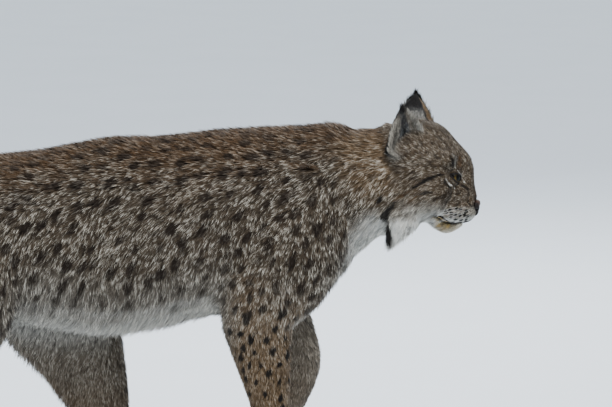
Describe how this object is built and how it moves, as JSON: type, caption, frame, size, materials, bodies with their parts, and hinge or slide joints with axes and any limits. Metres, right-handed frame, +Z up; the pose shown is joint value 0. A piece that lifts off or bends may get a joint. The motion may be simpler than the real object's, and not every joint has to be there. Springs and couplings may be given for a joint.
{
  "type": "eurasian lynx",
  "caption": "Life-size Eurasian lynx in winter coat, walking, one forepaw raised, tufted ears and cheek ruffs, short tail, soles flat on the ground.",
  "frame": {"origin": "middle of the animal's bounding box, on the ground under it", "axes": "+X is the way the lynx walks, +Y its left side, +Z up"},
  "size_m": [0.984, 0.2568, 0.693],
  "materials": {
    "coat": "long soft winter fur, matt",
    "eye": "wet, glossy",
    "nose": "bare nose leather, slightly moist"
  },
  "bodies": {
    "root": {"chest": "coat", "ear_left": "coat", "ear_right": "coat", "eye_left": "eye", "eye_right": "eye", "forearm_right": "coat", "foreleg_left": "coat", "forepaw_left": "coat", "forepaw_right": "coat", "head": "coat", "hindfoot_left": "coat", "hindfoot_right": "coat", "hindpaw_left": "coat", "hindpaw_right": "coat", "loins": "coat", "lower_jaw": "coat", "neck": "coat", "nose": "nose", "ruff_left": "coat", "ruff_right": "coat", "rump": "coat", "shank_left": "coat", "shank_right": "coat", "tail": "coat", "thigh_left": "coat", "thigh_right": "coat", "upper_arm_right": "coat"}
  },
  "joints": []
}
